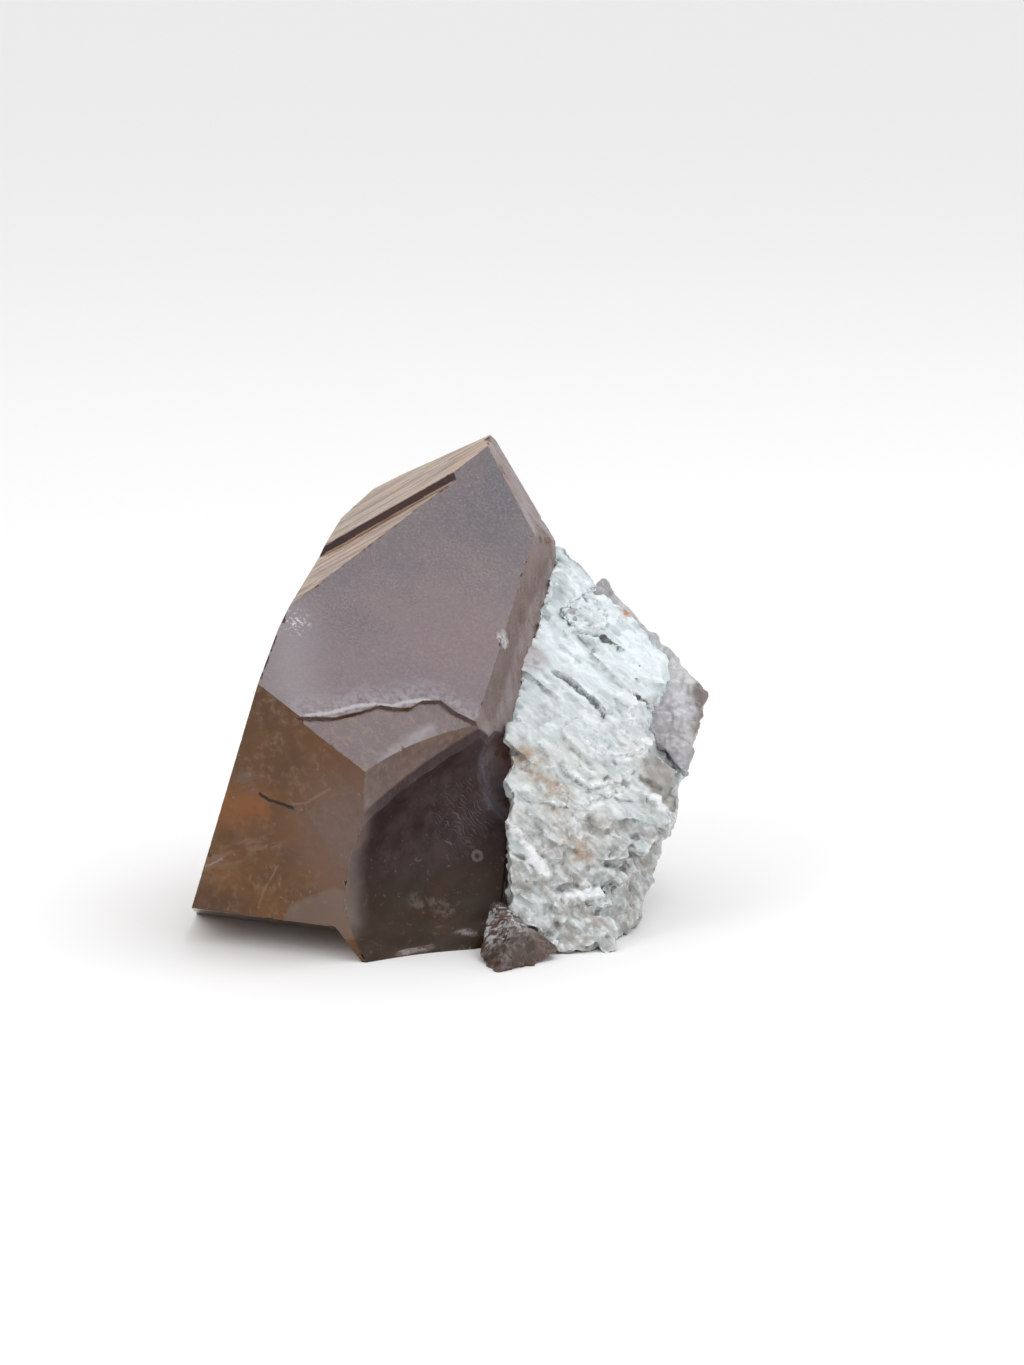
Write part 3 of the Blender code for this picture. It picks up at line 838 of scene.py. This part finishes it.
class FeldsparSettings(bpy.types.PropertyGroup):
    """Look of the feldspar"""
    # Blue white holds the pearly sheen of the upper blades as painted sheen
    blue_white: colour("Blue white", "Pearly colour of the upper blades", (0.74, 0.84, 0.88))
    cream: colour("Cream", "Colour of the middle ledges", (0.60, 0.60, 0.57))
    low_grey: colour("Low grey", "Colour of the lower grains", (0.33, 0.30, 0.27))
    # Bright also paints the glints of the cleavage plates
    bright: colour("Bright", "Colour of pearly cleavage and lips", (0.90, 0.93, 0.95))
    green_grey: colour("Green grey", "Tint of cloudy patches", (0.46, 0.53, 0.54))
    dim: colour("Dim", "Greyish see-through parts", (0.26, 0.235, 0.21))
    tan: colour("Tan", "Brownish grains", (0.42, 0.30, 0.21))
    crust: colour("Crust", "Frosty crust on the crystal", (0.42, 0.37, 0.39))
    rust: colour("Rust", "Orange stain at the upper edge", (0.48, 0.15, 0.04))
    # Painted shade: the colour laid into cracks, grooves, pits, under ledges and in the creases of the mesh
    groove: colour("Groove", "Colour in cracks and under ledges", (0.17, 0.16, 0.15))
    glow: number("Glow", "How far light spreads inside, in mm", 0.7)
    plate: number("Plates", "Size of the small plates, in mm", 1.1)
    glint: number("Glint", "How far the small plates tip", 0.6)
    fineness: length("Fineness", "Size of the mesh that carries the relief", 0.28 * MM)
    lip_height: number("Lips", "Height of the plate edges, in mm", 0.6)
    groove_depth: number("Grooves", "Depth of the grooves, in mm", 0.7)
    swell: number("Swell", "Height of the broad swells, in mm", 0.35)
    grain_height: number("Grain", "Height of the rough grain, in mm", 0.12)


class LesserQuartzSettings(bpy.types.PropertyGroup):
    """Look of the two lesser grains"""
    grey: colour("Grey", "Colour of the grain at the shoulder", (0.36, 0.35, 0.36))
    pale: colour("Pale", "Its paler clouds", (0.70, 0.72, 0.78))
    brown: colour("Brown", "Smoky edge", (0.17, 0.105, 0.075))
    lilac: colour("Lilac", "Its upper strip", (0.30, 0.25, 0.27))
    dark: colour("Dark", "Colour of the lump at the foot", (0.085, 0.055, 0.045))
    flake: colour("Flakes", "Colour of white flakes on them", (0.74, 0.75, 0.77))
    rust: colour("Rust", "Orange stain at the upper edge", (0.48, 0.15, 0.04))
    refraction: number("Refraction", "Refractive index of quartz", 1.544)
    clearness: share("Clearness", "Share of light that passes the surface", 0.35)
    absorption: number("Absorption", "How soon the grains swallow light", 60.0)
    absorption_colour: colour("Inner colour", "Colour that light keeps inside", (0.62, 0.44, 0.32))
    facet_height: number("Facets", "Height of the broken facets, in mm", 0.7)
    fineness: length("Fineness", "Size of the mesh that carries the relief", 0.28 * MM)


class StageSettings(bpy.types.PropertyGroup):
    """Floor, light and camera"""
    floor_colour: colour("Floor", "Colour of the pale floor", (0.92, 0.92, 0.92))
    floor_size: length("Floor size", "Width of the floor", 8.0)
    camera_slope: FloatProperty(name="Camera slope", description="Angle that the camera looks down",
                                default=math.radians(CAMERA_SLOPE), subtype="ANGLE")
    camera_distance: length("Camera distance", "From the specimen", CAMERA_DISTANCE * MM)
    lens: number("Lens", "Focal length in mm", SENSOR * CAMERA_DISTANCE / (PHOTO_HEIGHT * PIXEL))
    sky: number("Surrounding light", "Brightness of the white room", 0.9)
    overhead: number("Overhead panel", "Power of the panel above, in watts", 1.1)
    key: number("Side panel", "Power of the panel at the upper left, in watts", 0.7)


def crystal_relief(edges):
    """Faint wear along the crisp edges, a chipped tip, a rough right side and uneven breaks."""
    rough_faces = (direction(*RIGHT_FACE), direction(*UPPER_RIGHT_FACE))
    flat_faces = (direction(*FRONT_FACE), direction(*LOWER_LEFT_FACE), direction(*UPPER_LEFT_FACE))
    breaks = [break_axes(shape) for shape in (FRONT_BREAK, BACK_BREAK)]

    def rule(place, out):
        away = edges.find(place)[2]
        lump = max(0.0, noise.noise(place / 0.9) + 0.5 * noise.noise(place / 0.4))
        tip = smooth_step(nearest_on(TIP_EDGE, place)[0], 2.5, 0.5)
        chip = smooth_step((place - EDGE_CHIP).length, 1.6, 0.4)
        reach = 0.03 + 0.16 * lump + tip * (0.15 + 0.8 * lump) + chip * 0.5
        depth = 0.6 * max(0.0, reach - away)
        if max(out.dot(face) for face in rough_faces) > 0.95:
            rough = noise.turbulence(place / 3.0, 4, False) - 0.25
            depth += 0.35 * max(0.0, rough) * min(1.0, away / 0.8)
        elif max(out.dot(face) for face in flat_faces) < 0.98:
            for middle, axes in breaks:
                if sum((place - middle).dot(axis) ** 2 for axis in axes) < 1.03:
                    swell = 0.35 * noise.noise(place / 4.5) + 0.12 * noise.noise(place / 1.4)
                    depth += swell * min(1.0, away / 1.5)
        return -out * depth
    return rule


def rise_at_lip(place, points, view, fade):
    """1 just behind a plate's edge, fading to 0 further back, and 0 in front of it."""
    _, foot, way = nearest_on(points, place)
    offset = place - foot
    offset -= view * offset.dot(view)
    if view.cross(way).dot(offset) <= 0.0:
        return 0.0
    return math.exp(-offset.length / fade) * math.exp(-abs(offset.dot(way)) / 0.8)


def feldspar_relief(quartz, look):
    """Plates with ragged lips, grooves, ridges and grain, and a contact that laps onto the quartz."""
    faces = [(direction(*face[:2]), face[2]) for face in (FELDSPAR_UPPER, FELDSPAR_MIDDLE)]
    view = faces[1][0]

    def rule(place, out):
        high = smooth_step(place.z, -9.0, -1.0)
        long_way = place - BLADE_WAY * (0.65 * place.dot(BLADE_WAY))
        move = Vector()
        for (face, distance), settle in zip(faces, (0.6, 0.35)):
            proud = place.dot(face) - distance
            if abs(proud) < 2.0:
                move -= face * proud * settle * (1.0 - 0.5 * abs(proud))
        shake = noise.noise_vector(place / 2.4) * 0.5 + noise.noise_vector(place / 0.9) * 0.2
        move += shake * (1.0 - 0.4 * high)
        height = look.swell * noise.noise(place / 5.0)
        height += (0.45 - 0.35 * high) * (0.5 - abs(noise.noise(long_way / 1.7)))
        height += look.grain_height * (1.3 - 0.6 * high) * noise.turbulence(long_way / 0.6, 3, False)
        drawn = place + noise.noise_vector(place / 0.7) * 0.3
        for lip in LIPS:
            height += look.lip_height * rise_at_lip(drawn, lip, view, 2.6)
        for groove in GROOVES:
            height -= look.groove_depth * smooth_step(nearest_on(groove, drawn)[0], 0.5, 0.1)
        for ridge in RIDGES:
            height += 0.6 * smooth_step(nearest_on(ridge, drawn)[0], 1.2, 0.3)
        for pit in PITS:
            height -= 0.6 * smooth_step((drawn - pit).length, 0.9, 0.3)
        move += out * (height - 0.25)
        nearest, _, _, gap = quartz.find_nearest(place)
        if gap < CONTACT_REACH:
            away = gap / CONTACT_REACH
            ragged = 0.25 + 0.5 * noise.noise(place / 1.1)
            reach = (1.0 + ragged / max(gap, 0.3)) * (1.0 - away)
            teeth = noise.noise_vector(place / 0.9) * 0.7 * (1.0 - away)
            move = move * (0.4 + 0.6 * away) + teeth + (nearest - place) * reach
        crust = math.exp(-((place - CRUST) / 2.3).length_squared)
        return move + Vector((-1.0, -0.9, 0.3)) * crust * (1.6 + 0.8 * noise.noise(place / 0.8))
    return rule


def broken_relief(cell_size, height, quartz):
    """Tilted facets and grain of a broken grain, which closes up to the main crystal."""
    def rule(place, out):
        cell_place = (place + noise.noise_vector(place / 2.0) * 0.5) / cell_size
        gaps, cells = noise.voronoi(cell_place)
        tilt = noise.cell_vector(cells[0] * 31.7)
        seam = smooth_step(gaps[1] - gaps[0], 0.0, 0.35)
        rise = height * seam * ((cell_place - cells[0]).dot(tilt) + 0.5 * tilt.x)
        rise += 0.1 * noise.turbulence(place / 0.7, 3, False)
        move = out * (rise - 0.1)
        nearest, _, _, gap = quartz.find_nearest(place)
        if gap < GRAIN_REACH:
            away = gap / GRAIN_REACH
            move = move * away + (nearest - place) * 1.2 * (1.0 - away)
        return move
    return rule


class SPECIMEN_OT_smoky_quartz(bpy.types.Operator):
    """Main crystal: worn edges, rippled breaks and clear brown material"""
    bl_idname = "specimen.smoky_quartz"
    bl_label = "Smoky quartz"

    def execute(self, context):
        look = context.scene.smoky_quartz_look
        piece = copy_of("smoky_quartz", "smoky_quartz_crystal")
        edges = crisp_edges(piece, WORN_ANGLE, EDGE_SPACING * MM)
        modify(piece, "BEVEL", width=look.edge_wear, segments=2, limit_method="ANGLE",
               angle_limit=math.radians(WORN_ANGLE))
        densify(piece, look.fineness)
        displace(piece, crystal_relief(edges))
        smooth_by_angle(piece, CRYSTAL_CREASE)
        piece.data.materials.append(smoky_material(look))
        finish_piece(piece, "smoky_quartz")
        return {"FINISHED"}


class SPECIMEN_OT_feldspar(bpy.types.Operator):
    """Feldspar lump: a fine mesh with plates, ragged lips, grooves and grain"""
    bl_idname = "specimen.feldspar"
    bl_label = "Feldspar"

    def execute(self, context):
        look = context.scene.feldspar_look
        piece = copy_of("feldspar", "feldspar_lump")
        modify(piece, "REMESH", mode="VOXEL", voxel_size=look.fineness)
        modify(piece, "SMOOTH", factor=0.5, iterations=4)
        quartz = solids_tree("smoky_quartz", "shoulder_quartz", "foot_quartz")
        displace(piece, feldspar_relief(quartz, look))
        smooth_by_angle(piece, FELDSPAR_CREASE)
        piece.data.materials.append(feldspar_material(look))
        finish_piece(piece, "feldspar")
        return {"FINISHED"}


class SPECIMEN_OT_lesser_quartz(bpy.types.Operator):
    """Lesser quartz: the grain at the right shoulder and the lump at the foot, roughly broken"""
    bl_idname = "specimen.lesser_quartz"
    bl_label = "Lesser quartz"

    def execute(self, context):
        look = context.scene.lesser_quartz_look
        quartz = solids_tree("smoky_quartz")
        grains = (("shoulder_quartz", "shoulder_grain", "grey_quartz", 3.4, shoulder_material),
                  ("foot_quartz", "foot_lump", "dark_quartz", 1.8, foot_material))
        for node, name, slot, cell_size, material in grains:
            piece = copy_of(node, name)
            modify(piece, "REMESH", mode="VOXEL", voxel_size=look.fineness)
            displace(piece, broken_relief(cell_size, look.facet_height, quartz))
            smooth_by_angle(piece, GRAIN_CREASE)
            piece.data.materials.append(material(look))
            finish_piece(piece, node)
        return {"FINISHED"}


class SPECIMEN_OT_stage(bpy.types.Operator):
    """Pale floor, soft studio light and the camera"""
    bl_idname = "specimen.stage"
    bl_label = "Studio stage"

    def execute(self, context):
        look = context.scene.stage_look
        deselect_all()
        bpy.ops.mesh.primitive_plane_add(size=look.floor_size, location=(0.0, 0.0, 0.0))
        floor = context.object
        floor.name = "floor"
        floor.data.materials.append(floor_material(look))

        world = bpy.data.worlds.new("white_room")
        context.scene.world = world
        world.use_nodes = True
        background = world.node_tree.nodes["Background"]
        background.inputs["Color"].default_value = (1.0, 1.0, 1.0, 1.0)
        background.inputs["Strength"].default_value = look.sky

        target = (MIDDLE + AIM) * MM
        self.panel("overhead_panel", target, *OVERHEAD_PANEL, look.overhead)
        self.panel("side_panel", target, *SIDE_PANEL, look.key)

        back = direction(-90.0, math.degrees(look.camera_slope))
        lens = bpy.data.cameras.new("camera")
        lens.lens = look.lens
        lens.sensor_width = SENSOR
        lens.sensor_fit = "AUTO"
        lens.clip_start = 0.01
        camera = bpy.data.objects.new("camera", lens)
        camera.location = target + back * look.camera_distance
        camera.rotation_euler = (-back).to_track_quat("-Z", "Y").to_euler()
        context.scene.collection.objects.link(camera)
        context.scene.camera = camera
        context.scene.view_settings.view_transform = "Standard"
        return {"FINISHED"}

    @staticmethod
    def panel(name, target, shift, size, power):
        """Square soft light that looks at the specimen."""
        light = bpy.data.lights.new(name, "AREA")
        light.size = size
        light.energy = power
        lamp = bpy.data.objects.new(name, light)
        lamp.location = target + shift
        lamp.visible_transmission = False
        lamp.rotation_euler = (-shift).to_track_quat("-Z", "Y").to_euler()
        bpy.context.scene.collection.objects.link(lamp)


class SPECIMEN_PT_panel(bpy.types.Panel):
    """Sidebar panel that lists the pieces of the specimen"""
    bl_idname = "SPECIMEN_PT_panel"
    bl_label = "Smoky quartz on feldspar"
    bl_space_type = "VIEW_3D"
    bl_region_type = "UI"
    bl_category = "Specimen"

    def draw(self, context):
        for name in SETTINGS:
            look = getattr(context.scene, name)
            box = self.layout.box()
            box.operator("specimen." + name.removesuffix("_look"))
            for setting in type(look).__annotations__:
                box.prop(look, setting)


SETTINGS = {
    "smoky_quartz_look": SmokyQuartzSettings,
    "feldspar_look": FeldsparSettings,
    "lesser_quartz_look": LesserQuartzSettings,
    "stage_look": StageSettings,
}
CLASSES = (*SETTINGS.values(), SPECIMEN_OT_smoky_quartz, SPECIMEN_OT_feldspar,
           SPECIMEN_OT_lesser_quartz, SPECIMEN_OT_stage, SPECIMEN_PT_panel)


def register():
    for cls in CLASSES:
        bpy.utils.register_class(cls)
    for name, settings in SETTINGS.items():
        setattr(bpy.types.Scene, name, PointerProperty(type=settings))


def unregister():
    for name in SETTINGS:
        delattr(bpy.types.Scene, name)
    for cls in reversed(CLASSES):
        bpy.utils.unregister_class(cls)


def main():
    register()
    bpy.ops.specimen.smoky_quartz()
    bpy.ops.specimen.feldspar()
    bpy.ops.specimen.lesser_quartz()
    bpy.ops.specimen.stage()


if __name__ == "__main__":
    main()
